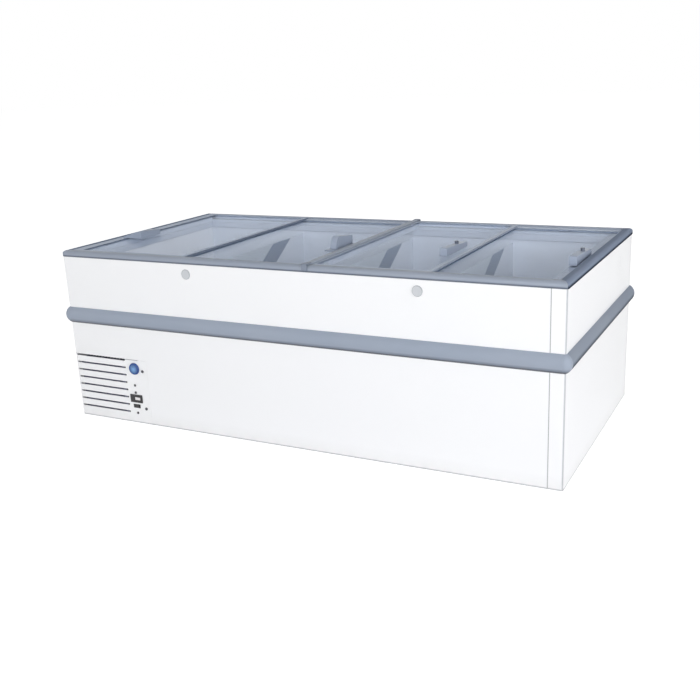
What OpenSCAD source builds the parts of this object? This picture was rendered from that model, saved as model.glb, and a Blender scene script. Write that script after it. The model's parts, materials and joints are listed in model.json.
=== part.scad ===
// Chest freezer with two pairs of sliding glass lids.
// The origin is on the floor under the middle of the cabinet.
// X runs along the front to the right, Y to the rear and Z up.

/* [Cabinet] */
// Width over the end panels
body_w = 2060; // [1980:10:2160]
// Depth over the front and rear panels
body_d = 1020; // [980:10:1060]
// Height of the panels, from their lower edge to the rim
body_h = 680; // [670:10:730]
// Clearance under the cabinet
foot_h = 16; // [12:1:30]
// Radius of the upright corners
corner_r = 8; // [6:1:12]
// Thickness of the insulation
wall_t = 62; // [58:1:66]
// Thickness of the outer sheets
sheet_t = 1; // [0.8:0.1:1.2]

/* [Rim and lids] */
// Thickness of a lid frame
lid_t = 7; // [7:0.5:8]
// Place of the cross bar, to the right of the middle
bar_x = 100; // [80:5:120]
// Width of the cross bar
bar_w = 24; // [22:1:30]
// Overlap of the two lids of a pair
lid_overlap = 22; // [20:1:30]
// Thickness of the glass
glass_t = 4; // [3:0.5:5]
// Width of the stiles where two lids overlap
stile_w = 18; // [16:1:22]
// Width of the rails, along the cabinet
rail_w = 14; // [12:1:20]
// Length of a handle with a lock
handle_l = 210; // [190:5:240]
// Place of those handles, measured to the rear from the middle
handle_y = -115; // [-140:5:-60]
// Height of the handle with a lock on its upper lid
handle_rise = 28; // [26:1:34]

/* [Bumper] */
// Height of the bumper
bumper_h = 66; // [56:1:72]
// How far the bumper stands out
bumper_out = 20; // [16:1:24]
// Lower edge of the bumper above the panels' lower edge
bumper_z = 405; // [380:1:430]

/* [Machine bay] */
// Width of the grille cover
cover_w = 370; // [366:1:376]
// Height of the grille cover
cover_h = 270; // [268:1:276]
// Number of air slots
slot_count = 8; // [6:1:8]
// Length of an air slot
slot_l = 254; // [220:1:256]
// Height of an air slot
slot_h = 7; // [5:1:9]
// Distance between air slots
slot_pitch = 31.7; // [28:0.1:32]

/* [Hidden] */
$fn = 48;
gap = 0.3;

// Heights of the layers
pan_t = 1;
z_base = foot_h;
z_pan = z_base + pan_t;
z_rim = z_base + body_h;
z_low = z_rim + 7;
z_up = z_low + lid_t + 2;
z_top = z_up + lid_t + 1;
z_bar = z_top + 6;
z_foam = z_rim - 6;

// Sheet joints of the shell
seam = 0.6;
front_seam_x = body_w / 2 - 52;
side_flange = 25;
flange_y = body_d / 2 - side_flange;

// Tub and machine bay
liner_t = 1;
liner_x = body_w / 2 - sheet_t - wall_t;
liner_y = body_d / 2 - sheet_t - wall_t;
cover_x = -body_w / 2 + cover_w;
bay_x = cover_x - 8;
bay_z = z_base + cover_h + 19;
step_x = bay_x + liner_t + wall_t;
step_z = bay_z + liner_t + wall_t;
floor_z = z_pan + wall_t;
collar_t = 12;
collar_z = z_foam - 25;
divider_t = 2;
divider_z = z_foam - 40;

// Rim
rim_over = 2;
rim_w = body_w + 2 * rim_over;
rim_d = body_d + 2 * rim_over;
rim_reach = wall_t + 16;
rim_lip = rim_over + sheet_t + gap;
track_up = 30;
track_low = 38;
end_block = 32;
track_play = 0.5;

// Lids: 1 and 3 run on the upper track, 2 and 4 on the lower one
end_play = 2;
pair_lo = [-rim_w / 2 + end_block + end_play, bar_x + bar_w / 2 + end_play];
pair_hi = [bar_x - bar_w / 2 - end_play, rim_w / 2 - end_block - end_play];
lid_l = [for (p = [0, 1]) (pair_hi[p] - pair_lo[p] + lid_overlap) / 2];
end_stile = 10;
wide_stile = 42;
stiles = [[wide_stile, stile_w], [stile_w, end_stile], [end_stile, stile_w], [stile_w, end_stile]];
pane_hold = 8;
pane_play = 0.2;
handle_base = 4;
grip_t = 28;
lock_r = 7.5;
lock_play = 0.3;
lock_y = handle_y + 30;
lock_rise = 11;
lock_drop = 12;
grip_u_up = 44;
grip_u_low = 10;
rise_low = handle_rise + 4;

// Controls on the grille cover
column_x = -body_w / 2 + 303;
front_y = -body_d / 2;
dial_at = [column_x + 5, z_base + 234];
display_at = [column_x, z_base + 106];
switch_at = [column_x - 2, z_base + 73];
lamp_x = column_x - 1.5;
lamp_zs = [for (h = [43, 131, 162]) z_base + h];
screw_x = -body_w / 2 + 348;
screw_zs = [for (h = [66, 226]) z_base + h];
plug_xs = [-420, 527];
plug_z = z_base + 641;
plug_r = 19.5;
fillet_r = 18;

// Refrigeration
coil_r = 4;
coil_y = liner_y + coil_r + gap;
coil_runs = 6;
coil_pitch = 40;
run_r = 3.4;
coil_z = divider_z - (coil_runs - 1) * coil_pitch;
drop_x = -900;
compressor_at = [-870, -60];
condenser_x = -797;
condenser_zs = [z_base + 44, z_base + 226];
fan_at = [-904, z_base + 135];
drier_at = [-720, 150];

foot_xs = [-880, 0, 880];
foot_ys = [-400, 400];
gland_at = [-960, z_base + 60];

// Colours
white = [0.95, 0.95, 0.95];
rim_grey = [0.55, 0.60, 0.66];
bumper_grey = [0.60, 0.65, 0.72];
liner_grey = [0.80, 0.82, 0.85];
steel = [0.60, 0.60, 0.62];
copper = [0.72, 0.45, 0.30];
black = [0.12, 0.12, 0.13];

// A block from its two corners
module block(low, high) {
    translate(low)
        cube(high - low);
}

// A rectangle from its two corners
module rect(low, high) {
    translate(low)
        square(high - low);
}

// A rectangle with round corners, about its middle
module rounded_rect(w, d, r) {
    square([w - 2 * r, d], center = true);
    square([w, d - 2 * r], center = true);
    for (sx = [-1, 1], sy = [-1, 1])
        translate([sx * (w / 2 - r), sy * (d / 2 - r)])
            circle(r);
}

// What a round edge of radius r takes off a corner at the origin, towards -X and -Y
module edge_cut(r) {
    difference() {
        rect([-r, -r], [1, 1]);
        translate([-r, -r])
            circle(r);
    }
}

// Outline drawn in X and Z, swept along Y
module along_y(y0, y1) {
    translate([0, y1, 0])
        rotate([90, 0, 0])
            linear_extrude(y1 - y0)
                children();
}

// Outline drawn in Y and Z, swept along X
module along_x(x0, x1) {
    translate([x0, 0, 0])
        rotate([90, 0, 90])
            linear_extrude(x1 - x0)
                children();
}

// A round bar along Y, from a place in X and Z
module y_bar(at, y0, y1, r) {
    translate([at[0], y0, at[1]])
        rotate([-90, 0, 0])
            cylinder(h = y1 - y0, r = r);
}

// A round bar between two points
module rod(a, b, r) {
    d = b - a;
    translate(a)
        rotate([0, acos(d[2] / norm(d)), atan2(d[1], d[0])])
            cylinder(h = norm(d), r = r);
}

// A pipe through a list of points, with a ball at each bend
module pipe(points, r) {
    ball = 1.45;
    for (i = [0 : len(points) - 2])
        rod(points[i], points[i + 1], r);
    for (i = [1 : len(points) - 2])
        translate(points[i])
            sphere(r * ball);
}

// The shell's sheet in plan
module shell_plan() {
    difference() {
        rounded_rect(body_w, body_d, corner_r);
        rounded_rect(body_w - 2 * sheet_t, body_d - 2 * sheet_t, corner_r - sheet_t);
    }
}

// The stretch of the shell inside a rectangle of the plan
module shell_sheet(low, high) {
    translate([0, 0, z_base])
        linear_extrude(body_h)
            intersection() {
                shell_plan();
                rect(low, high);
            }
}

// Front of the grille cover, with the sweep at its upper left corner
module cover_outline(grow) {
    left = -body_w / 2 - 1;
    corner = [-body_w / 2 + fillet_r, z_base + cover_h + fillet_r];
    rect([left, z_base - 1], [cover_x + grow, z_base + cover_h + grow]);
    difference() {
        rect([left, z_base + cover_h], corner);
        translate(corner)
            circle(fillet_r - grow);
    }
}

// Air slots; the first one opens at the cover's upper edge
module air_slots(x0) {
    for (i = [0 : slot_count - 1]) {
        z = z_base + cover_h - slot_h / 2 - i * slot_pitch;
        rect([x0 + slot_h / 2, z - slot_h / 2], [x0 + slot_l - slot_h / 2, z + slot_h / 2]);
        for (x = [x0 + slot_h / 2, x0 + slot_l - slot_h / 2])
            translate([x, z])
                circle(slot_h / 2);
    }
}

module base_pan() {
    stud_r = 5.1;
    color(steel)
        translate([0, 0, z_base])
            linear_extrude(pan_t)
                difference() {
                    rounded_rect(body_w - 2 * sheet_t - gap, body_d - 2 * sheet_t - gap, corner_r - sheet_t);
                    for (x = foot_xs, y = foot_ys)
                        translate([x, y])
                            circle(stud_r);
                }
}

module levelling_feet() {
    pad_r = 25;
    nut_r = 12;
    stud_r = 5;
    stud_top = z_pan + 10;
    color(black)
        for (x = foot_xs, y = foot_ys)
            translate([x, y, 0])
                rotate_extrude()
                    polygon([[0, 0], [pad_r - 2, 0], [pad_r, 2], [pad_r, 6], [nut_r, 9],
                        [nut_r, z_base], [stud_r, z_base], [stud_r, stud_top], [0, stud_top]]);
}

module front_panel() {
    hole_r = 7.4;
    color(white)
        difference() {
            shell_sheet([-body_w, -body_d], [front_seam_x, -flange_y]);
            along_y(-body_d, 0)
                cover_outline(seam);
            for (x = plug_xs)
                y_bar([x, plug_z], front_y - 1, front_y + sheet_t + 1, hole_r);
        }
}

module rear_panel() {
    vent_x = -body_w / 2 + 30;
    gland_hole = 9;
    color(white)
        difference() {
            shell_sheet([-body_w, flange_y], [body_w, body_d]);
            along_y(body_d / 2 - sheet_t - 1, body_d / 2 + 1)
                intersection() {
                    air_slots(vent_x);
                    rect([-body_w, z_base + 90], [0, z_base + cover_h - slot_h - 2]);
                }
            y_bar(gland_at, body_d / 2 - sheet_t - 1, body_d / 2 + 1, gland_hole);
        }
}

module end_panel_left() {
    color(white)
        shell_sheet([-body_w, -flange_y + seam], [0, flange_y - seam]);
}

module end_panel_right() {
    color(white)
        shell_sheet([front_seam_x + seam, -body_d], [body_w, flange_y - seam]);
}

module machine_cover() {
    slot_x = -body_w / 2 + 9;
    display_hole = [56, 30];
    switch_hole = [30.4, 12.4];
    color(white)
        difference() {
            intersection() {
                shell_sheet([-body_w, -body_d], [cover_x, -flange_y]);
                along_y(-body_d, 0)
                    cover_outline(0);
            }
            along_y(front_y - 1, front_y + sheet_t + 1) {
                air_slots(slot_x);
                translate(display_at)
                    square(display_hole, center = true);
                translate(switch_at)
                    square(switch_hole, center = true);
            }
            y_bar(dial_at, front_y - 1, front_y + sheet_t + 1, 4);
            for (z = lamp_zs)
                y_bar([lamp_x, z], front_y - 1, front_y + sheet_t + 1, 4.2);
            for (z = screw_zs)
                y_bar([screw_x, z], front_y - 1, front_y + sheet_t + 1, 2.2);
        }
}

module cover_screws() {
    color(steel)
        for (z = screw_zs) {
            y_bar([screw_x, z], front_y - 2.6, front_y - 0.1, 6);
            y_bar([screw_x, z], front_y - 0.2, front_y + 12, 2);
        }
}

// Ceiling and inner wall of the machine bay, with the strip that takes the cover screws
module bay_liner() {
    half_y = body_d / 2 - sheet_t - gap;
    left = -body_w / 2 + sheet_t + gap;
    strip = 26;
    color(steel)
        difference() {
            union() {
                translate([0, 0, bay_z])
                    linear_extrude(liner_t)
                        intersection() {
                            rounded_rect(-2 * left, 2 * half_y, corner_r - sheet_t);
                            rect([left, -half_y], [bay_x + liner_t, half_y]);
                        }
                block([bay_x, -half_y, z_pan], [bay_x + liner_t, half_y, bay_z + liner_t]);
                block([bay_x - strip, -half_y, z_pan], [bay_x + liner_t, -half_y + liner_t, bay_z]);
            }
            for (z = screw_zs)
                y_bar([screw_x, z], -half_y - 1, -half_y + liner_t + 1, 2.1);
            for (y = [-coil_y, coil_y])
                translate([drop_x, y, bay_z - 1])
                    cylinder(h = liner_t + 2, r = coil_r + 1);
        }
}

// Foam between the shell and the tub, open over the machine bay
module foam_insulation() {
    stud_r = 8;
    stem_r = 8;
    coil_depth = 2 * coil_r + 2 * gap + 1;
    drop_w = 24;
    color("khaki")
        difference() {
            translate([0, 0, z_pan + gap])
                linear_extrude(z_foam - z_pan - gap)
                    rounded_rect(body_w - 2 * sheet_t - gap, body_d - 2 * sheet_t - gap, corner_r - sheet_t);
            along_y(-liner_y - gap, liner_y + gap)
                tub_outline(gap, z_foam + 1);
            block([-body_w, -body_d, 0], [bay_x + liner_t + gap, body_d, bay_z + liner_t + gap]);
            for (s = [0, 1])
                mirror([0, s, 0]) {
                    block([drop_x - drop_w / 2, liner_y, coil_z - drop_w / 2],
                        [-drop_x + drop_w / 2, liner_y + coil_depth, divider_z + drop_w / 2]);
                    block([drop_x - drop_w / 2, liner_y, bay_z],
                        [drop_x + drop_w / 2, liner_y + coil_depth, coil_z]);
                }
            for (x = foot_xs, y = foot_ys)
                translate([x, y, 0])
                    cylinder(h = z_pan + 14, r = stud_r);
            for (x = plug_xs)
                y_bar([x, plug_z], -body_d, front_y + 18, stem_r);
        }
}

// Tub in X and Z: deep at the right, with a step over the machine bay at the left
module tub_outline(grow, top) {
    polygon([[-liner_x - grow, top], [-liner_x - grow, step_z - grow], [step_x - grow, step_z - grow],
        [step_x - grow, floor_z - grow], [liner_x + grow, floor_z - grow], [liner_x + grow, top]]);
}

module liner_side() {
    color(liner_grey)
        along_y(-liner_y, -liner_y + liner_t)
            tub_outline(-liner_t, z_foam);
}

module liner_front() {
    liner_side();
}

module liner_rear() {
    mirror([0, 1, 0])
        liner_side();
}

module liner_left() {
    color(liner_grey)
        block([-liner_x, -liner_y, step_z], [-liner_x + liner_t, liner_y, z_foam]);
}

module liner_right() {
    color(liner_grey)
        block([liner_x - liner_t, -liner_y, floor_z], [liner_x, liner_y, z_foam]);
}

// Floor, riser and shelf of the tub, bent from one sheet
module liner_floor() {
    color(liner_grey)
        along_y(-liner_y, liner_y) {
            rect([-liner_x + liner_t, step_z], [step_x + liner_t, step_z + liner_t]);
            rect([step_x, floor_z], [step_x + liner_t, step_z + liner_t]);
            rect([step_x, floor_z], [liner_x - liner_t, floor_z + liner_t]);
        }
}

// One wall's coil: level runs between two headers; the left header drops into the machine bay
module coil() {
    header_end = 8;
    top = coil_z + (coil_runs - 1) * coil_pitch;
    for (i = [0 : coil_runs - 1])
        rod([drop_x, coil_y, coil_z + i * coil_pitch], [-drop_x, coil_y, coil_z + i * coil_pitch], run_r);
    rod([drop_x, coil_y, bay_z - 14], [drop_x, coil_y, top + header_end], coil_r);
    rod([-drop_x, coil_y, coil_z - header_end], [-drop_x, coil_y, top + header_end], coil_r);
}

module evaporator_coils() {
    color(copper) {
        coil();
        mirror([0, 1, 0])
            coil();
    }
}

// Dark band round the top of the tub
module breaker_collar() {
    out_x = liner_x - liner_t - gap;
    out_y = liner_y - liner_t - gap;
    color(rim_grey)
        difference() {
            block([-out_x, -out_y, collar_z], [out_x, out_y, z_foam]);
            block([-out_x + collar_t, -out_y + collar_t, collar_z - 1],
                [out_x - collar_t, out_y - collar_t, z_foam + 1]);
        }
}

// Rim in section, from its outer face inwards: hollow block, then the ledges for the lids
module rim_section(block_w, mid_w, mid_z, low_z) {
    under = z_rim - 5.5;
    edge_r = 16;
    lip_r = 3;
    cavity = 4;
    difference() {
        union() {
            rect([0, z_rim], [block_w, z_top]);
            rect([rim_lip, under], [block_w, z_rim + 1]);
            rect([block_w - 1, under], [mid_w, mid_z]);
            rect([mid_w - 1, under], [rim_reach, low_z]);
        }
        translate([0, z_top])
            mirror([1, 0])
                edge_cut(edge_r);
        translate([block_w, z_top])
            edge_cut(lip_r);
        rect([edge_r - cavity, under + cavity], [block_w - cavity, z_top - cavity]);
    }
}

// Mitred stretch of the rim's plan, for the front or for the left end
module rim_mitre(front) {
    x = rim_w / 2;
    y = rim_d / 2;
    k = rim_reach + 1;
    if (front)
        polygon([[-x, -y], [x, -y], [x - k, -y + k], [-x + k, -y + k]]);
    else
        polygon([[-x, -y + gap], [-x + k, -y + k + gap], [-x + k, y - k - gap], [-x, y - gap]]);
}

// Space of that stretch: over the shell's edge, and inside the shell below it
module rim_space(front) {
    play = sheet_t + gap;
    translate([0, 0, z_rim])
        linear_extrude(z_top)
            intersection() {
                rounded_rect(rim_w, rim_d, corner_r + rim_over);
                rim_mitre(front);
            }
    linear_extrude(z_rim)
        intersection() {
            rounded_rect(body_w - 2 * play, body_d - 2 * play, corner_r - play);
            rim_mitre(front);
        }
}

module rim_long() {
    color(rim_grey)
        intersection() {
            along_x(-rim_w / 2, rim_w / 2)
                translate([-rim_d / 2, 0])
                    rim_section(track_up, track_low, z_up - track_play, z_low - track_play);
            rim_space(true);
        }
}

// End of the rim; its ledge is level with the track of the lid that closes on it
module rim_end(ledge_z) {
    color(rim_grey)
        intersection() {
            along_y(-rim_d / 2, rim_d / 2)
                translate([-rim_w / 2, 0])
                    rim_section(end_block, end_block + 1, ledge_z, ledge_z);
            rim_space(false);
        }
}

module rim_front() {
    rim_long();
}

module rim_rear() {
    mirror([0, 1, 0])
        rim_long();
}

module rim_left() {
    rim_end(z_up - track_play);
}

module rim_right() {
    mirror([1, 0, 0])
        rim_end(z_low - track_play);
}

// Cross bar between the pairs of lids, stepped at its ends like the rim
module centre_bar() {
    flange = 11;
    half = bar_w / 2;
    top_y = rim_d / 2 - track_up - gap;
    mid_y = rim_d / 2 - track_low - gap;
    low_y = rim_d / 2 - rim_reach - gap;
    mid_z = z_up - track_play;
    low_z = z_low - track_play;
    edge_r = 4;
    color(rim_grey)
        translate([bar_x, 0, 0]) {
            along_y(-top_y, top_y)
                difference() {
                    rect([-half, mid_z], [half, z_bar]);
                    translate([half, z_bar])
                        edge_cut(edge_r);
                    translate([-half, z_bar])
                        mirror([1, 0])
                            edge_cut(edge_r);
                }
            block([-half, -mid_y, low_z], [half + flange, mid_y, mid_z]);
            block([-half - flange, -low_y, z_rim - 5.5], [half + flange, low_y, low_z]);
        }
}

// Caps that carry the cross bar over the rim
module bar_end_caps() {
    face_t = 3;
    edge_r = 6;
    color(rim_grey)
        for (s = [0, 1])
            mirror([0, s, 0])
                along_x(bar_x - bar_w / 2, bar_x + bar_w / 2)
                    translate([-rim_d / 2, 0])
                        difference() {
                            union() {
                                rect([-face_t, z_rim + 6], [-gap, z_bar]);
                                rect([-face_t, z_top + gap], [track_up - gap, z_bar]);
                            }
                            translate([-face_t, z_bar])
                                mirror([1, 0])
                                    edge_cut(edge_r);
                        }
}

// Hollow half-round section of the bumper
module bumper_section() {
    arc_r = (bumper_h * bumper_h / 4 + bumper_out * bumper_out) / (2 * bumper_out);
    skin = 3;
    translate([0, z_base + bumper_z + bumper_h / 2])
        intersection() {
            translate([bumper_out - arc_r, 0])
                difference() {
                    circle(arc_r, $fn = 96);
                    circle(arc_r - skin, $fn = 96);
                }
            rect([0.1, -bumper_h], [bumper_out + 1, bumper_h]);
        }
}

module bumper_long() {
    half = body_w / 2 - corner_r - gap;
    color(bumper_grey)
        along_x(-half, half)
            translate([-body_d / 2, 0])
                mirror([1, 0])
                    bumper_section();
}

module bumper_end() {
    half = body_d / 2 - corner_r - gap;
    color(bumper_grey)
        along_y(-half, half)
            translate([body_w / 2, 0])
                bumper_section();
}

module bumper_front() {
    bumper_long();
}

module bumper_rear() {
    mirror([0, 1, 0])
        bumper_long();
}

module bumper_left() {
    mirror([1, 0, 0])
        bumper_end();
}

module bumper_right() {
    bumper_end();
}

module bumper_corners() {
    color(bumper_grey)
        for (sx = [0, 1], sy = [0, 1])
            mirror([sx, 0, 0])
                mirror([0, sy, 0])
                    translate([body_w / 2 - corner_r, body_d / 2 - corner_r, 0])
                        rotate_extrude(angle = 90)
                            translate([corner_r, 0])
                                bumper_section();
}

// Ends of lid n along X
function lid_span(n) =
    let (p = n <= 2 ? 0 : 1, first = n % 2 == 1)
    first ? [pair_lo[p], pair_lo[p] + lid_l[p]] : [pair_hi[p] - lid_l[p], pair_hi[p]];

// Underside of lid n
function lid_z(n) = n % 2 == 1 ? z_up : z_low;

// Width of the stile of lid n at its left end (0) or right end (1)
function stile(n, end) = stiles[n - 1][end];

// Half of the depth of lid n
function lid_half(n) = rim_d / 2 - track_play - (n % 2 == 1 ? track_up : track_low);

// Pane of lid n, in its groove, with room round it
module lid_pane(n, play) {
    x = lid_span(n);
    y = lid_half(n) - rail_w + pane_hold + play;
    z = lid_z(n) + (lid_t - glass_t) / 2;
    block([x[0] + stile(n, 0) - pane_hold - play, -y, z - play],
        [x[1] - stile(n, 1) + pane_hold + play, y, z + glass_t + play]);
}

module lid_frame(n) {
    x = lid_span(n);
    y = lid_half(n);
    z = lid_z(n);
    color(rim_grey)
        difference() {
            block([x[0], -y, z], [x[1], y, z + lid_t]);
            block([x[0] + stile(n, 0), -y + rail_w, z - 1], [x[1] - stile(n, 1), y - rail_w, z + lid_t + 1]);
            lid_pane(n, pane_play);
        }
}

module lid_glass(n) {
    color([0.75, 0.80, 0.85, 0.4])
        lid_pane(n, 0);
}

// Outline of a handle along its length: a round shoulder at the front and a top that falls to the rear
module handle_side(front, rear, rise, drop, shoulder_r) {
    rear_r = 8;
    round_start = 12;
    difference() {
        polygon([[front, 0], [rear, 0], [rear, rise - drop], [front, rise]]);
        translate([front, rise])
            mirror([1, 0])
                edge_cut(shoulder_r);
        translate([rear, rise - drop + drop * round_start / (rear - front)])
            edge_cut(rear_r);
    }
}

// Puts its children on lid n, measured inwards from its left end (side 1) or its right end (side -1)
module on_lid(n, side) {
    x = side > 0 ? lid_span(n)[0] + end_play : lid_span(n)[1] - end_play;
    translate([x, 0, lid_z(n) + lid_t])
        mirror([side > 0 ? 0 : 1, 0, 0])
            children();
}

// Foot of a handle: it lies on the stile, and behind the stile on the glass
module handle_foot(n, end, u0, u1, front, rear) {
    glass_u = max(u0, stile(n, end) - end_play + gap);
    block([u0, front, 0], [u1, rear, handle_base]);
    block([glass_u, front, -(lid_t - glass_t) / 2], [u1, rear, handle_base]);
}

// Handle at the right end of lid n, with the bore for its lock
module lock_handle(n, u, rise) {
    front = handle_y - handle_l / 2;
    rear = front + handle_l;
    color(rim_grey)
        on_lid(n, -1)
            difference() {
                union() {
                    handle_foot(n, 1, u, u + grip_t, front, rear);
                    along_x(u, u + grip_t)
                        handle_side(front, rear, rise, drop = lock_drop, shoulder_r = 6);
                }
                translate([u + grip_t / 2, lock_y, handle_base])
                    cylinder(h = rise, r = lock_r + lock_play);
            }
}

// Lock in the handle of lid n, with its key slot
module lid_lock(n, u, rise) {
    place = (lock_y - handle_y) / handle_l + 0.5;
    low = handle_base + gap;
    high = rise - lock_drop * place + lock_rise;
    key = [2, 7, 3];
    color("silver")
        on_lid(n, -1)
            translate([u + grip_t / 2, lock_y, 0])
                difference() {
                    translate([0, 0, low])
                        cylinder(h = high - low, r = lock_r);
                    translate([-key[0] / 2, -key[1] / 2, high - key[2]])
                        cube([key[0], key[1], key[2] + 1]);
                }
}

module lid_1_frame() {
    lid_frame(1);
}

module lid_1_glass() {
    lid_glass(1);
}

// Wedge that rises from the rim's side to a steep face towards the glass
module lid_1_handle() {
    front = handle_y - 75;
    rear = front + 130;
    near_u = 14;
    far_u = 112;
    crest = 8;
    rise = 30;
    color(rim_grey)
        on_lid(1, 1) {
            handle_foot(1, 0, near_u, far_u, front, rear);
            intersection() {
                along_y(front, rear)
                    polygon([
                        [near_u, 0], [far_u, 0],
                        [far_u, rise], [far_u - crest, rise],
                        [near_u, handle_base]
                    ]);
                along_x(near_u, far_u)
                    handle_side(front, rear, rise, drop = 10, shoulder_r = 6);
            }
        }
}

module lid_2_frame() {
    lid_frame(2);
}

module lid_2_glass() {
    lid_glass(2);
}

// Tall handle on a low plate that stands out all round, most of all inwards and to the front
module lid_2_handle() {
    u = 30;
    front = handle_y - 65;
    rear = front + 138;
    rise = 54;
    lip = 2;
    wing = 14;
    toe = 20;
    color(rim_grey)
        on_lid(2, -1) {
            block([u - lip, front - toe, -(lid_t - glass_t) / 2],
                [u + grip_t + wing, rear + lip, handle_base]);
            along_x(u, u + grip_t)
                handle_side(front, rear, rise, drop = 17, shoulder_r = 48);
        }
}

module lid_3_frame() {
    lid_frame(3);
}

module lid_3_glass() {
    lid_glass(3);
}

module lid_3_handle() {
    lock_handle(3, grip_u_up, handle_rise);
}

module lid_3_lock() {
    lid_lock(3, grip_u_up, handle_rise);
}

module lid_4_frame() {
    lid_frame(4);
}

module lid_4_glass() {
    lid_glass(4);
}

module lid_4_handle() {
    lock_handle(4, grip_u_low, rise_low);
}

module lid_4_lock() {
    lid_lock(4, grip_u_low, rise_low);
}

// Domed hermetic shell on its base plate, with a stub for each pipe
module compressor() {
    shell_r = 80;
    base = z_pan + 18;
    color(black)
        translate([compressor_at[0], compressor_at[1], 0]) {
            block([-115, -85, base], [115, 85, base + 4]);
            translate([0, 0, base + 4])
                rotate_extrude()
                    polygon([[0, 0], [shell_r - 8, 0], [shell_r, 8], [shell_r, 100], [shell_r - 6, 124],
                        [shell_r - 22, 142], [shell_r - 46, 152], [0, 156]]);
            for (stub = [[condenser_x - compressor_at[0], 0], [-30, 40]])
                translate([stub[0], stub[1], base + 60])
                    cylinder(h = 110, r = 6);
        }
}

module compressor_mounts() {
    color(black)
        for (x = [-95, 95], y = [-65, 65])
            translate([compressor_at[0] + x, compressor_at[1] + y, z_pan])
                cylinder(h = 18 - gap, r = 13);
}

// Finned block behind the air slots, with a header at its right end for the two pipes
module condenser() {
    low = [-1018, -492, z_pan + gap];
    high = [condenser_x + 7, -442, z_base + 246];
    fins = 14;
    fin_t = 1;
    pitch = (high[0] - low[0] - 7) / fins;
    mid_y = (low[1] + high[1]) / 2;
    color("dimgray") {
        for (i = [0 : fins - 1])
            translate([low[0] + i * pitch, low[1], low[2]])
                cube([fin_t, high[1] - low[1], high[2] - low[2]]);
        for (z = [low[2] + 30 : 46 : high[2] - 20])
            rod([low[0] - 4, mid_y, z], [condenser_x, mid_y, z], 4);
        block([condenser_x - 7, low[1], low[2]], high);
        for (z = condenser_zs)
            rod([condenser_x, mid_y, z], [condenser_x, high[1] + 4, z], 5);
    }
}

module fan_bracket() {
    color(steel)
        difference() {
            union() {
                block([fan_at[0] - 40, -378, z_pan + gap], [fan_at[0] + 40, -366, fan_at[1] + 44]);
                block([fan_at[0] - 40, -378, z_pan + gap], [fan_at[0] + 40, -320, z_pan + 3]);
            }
            y_bar(fan_at, -380, -360, 32.2);
        }
}

module fan_motor() {
    color("dimgray") {
        y_bar(fan_at, -402, -340, 32);
        y_bar(fan_at, -432, -401, 3);
    }
}

module fan_blade() {
    blades = 5;
    twist = 25;
    color(black)
        translate([fan_at[0], -420, fan_at[1]])
            difference() {
                union() {
                    y_bar([0, 0], -11, 11, 17);
                    for (i = [0 : blades - 1])
                        rotate([0, i * 360 / blades, 0])
                            translate([50, 0, 0])
                                rotate([twist, 0, 0])
                                    cube([72, 2, 42], center = true);
                }
                y_bar([0, 0], -12, 12, 3.3);
            }
}

// Discharge, suction and liquid lines of the machine bay
module refrigerant_pipes() {
    hot_z = condenser_zs[1];
    cold_z = z_base + 216;
    stub_z = z_pan + 188 + gap;
    out = [condenser_x, -438 + gap];
    hot = [condenser_x, compressor_at[1]];
    back = [compressor_at[0] - 30, compressor_at[1] + 40];
    coil_end = bay_z - 14 - gap;
    liquid_z = condenser_zs[0];
    cap_z = z_base + 262;
    color(copper) {
        pipe([[out[0], out[1], hot_z], [hot[0], hot[1], hot_z], [hot[0], hot[1], stub_z]], 4);
        pipe([[drop_x, coil_y, coil_end], [drop_x, coil_y, cold_z], [back[0], back[1], cold_z],
            [back[0], back[1], stub_z]], 4);
        pipe([[out[0], out[1] + 1, liquid_z], [drier_at[0], drier_at[1], liquid_z],
            [drier_at[0], drier_at[1], z_base + 60 - gap]], 4);
        pipe([[drier_at[0], drier_at[1], z_base + 190 + gap], [drier_at[0], drier_at[1], cap_z],
            [drop_x, -coil_y, cap_z], [drop_x, -coil_y, coil_end]], 3);
    }
}

module filter_drier() {
    color(copper)
        translate([drier_at[0], drier_at[1], z_base + 60])
            rotate_extrude()
                polygon([[0, 0], [6, 0], [12, 14], [12, 116], [6, 130], [0, 130]]);
}

// Box behind the controls, with the thermostat's block in it
module control_box() {
    low = [column_x - 46, front_y + sheet_t + gap, z_base + 22];
    high = [column_x + 32, front_y + 68, z_base + 266];
    wall = 2;
    block_half = 17;
    color(black)
        difference() {
            union() {
                difference() {
                    block(low, high);
                    block(low + [wall, -1, wall], high - [wall, wall, wall]);
                }
                block([dial_at[0] - block_half, front_y + 10, dial_at[1] - block_half],
                    [dial_at[0] + block_half, high[1] - 1, dial_at[1] + block_half]);
            }
            y_bar(dial_at, front_y, front_y + 40, 3.3);
        }
}

module thermostat_knob() {
    knob_r = 24.5;
    depth = 7;
    bevel = 2;
    pointer = [3, 14, 1];
    color([0.10, 0.28, 0.60])
        difference() {
            union() {
                translate([dial_at[0], front_y - gap, dial_at[1]])
                    rotate([90, 0, 0])
                        rotate_extrude()
                            polygon([
                                [0, 0], [knob_r, 0],
                                [knob_r, depth - 2 * bevel], [knob_r - bevel, depth],
                                [0, depth]
                            ]);
                y_bar(dial_at, front_y - 1, front_y + 30, 3);
            }
            translate([dial_at[0] - pointer[0] / 2, front_y - gap - depth - 1, dial_at[1] + 4])
                cube([pointer[0], pointer[2] + 1, pointer[1]]);
        }
}

// Size and place of the display's window, which sits right of the unit's middle
lens_size = [26, 12];
lens_off = 7;

module display_unit() {
    face = [60, 34];
    body = [55, 29];
    color(black)
        difference() {
            union() {
                along_y(front_y - 4, front_y - 0.2)
                    translate(display_at)
                        square(face, center = true);
                along_y(front_y - 1, front_y + 40)
                    translate(display_at)
                        square(body, center = true);
            }
            along_y(front_y - 5, front_y - 2)
                translate(display_at + [lens_off, 0])
                    square(lens_size, center = true);
        }
}

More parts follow.
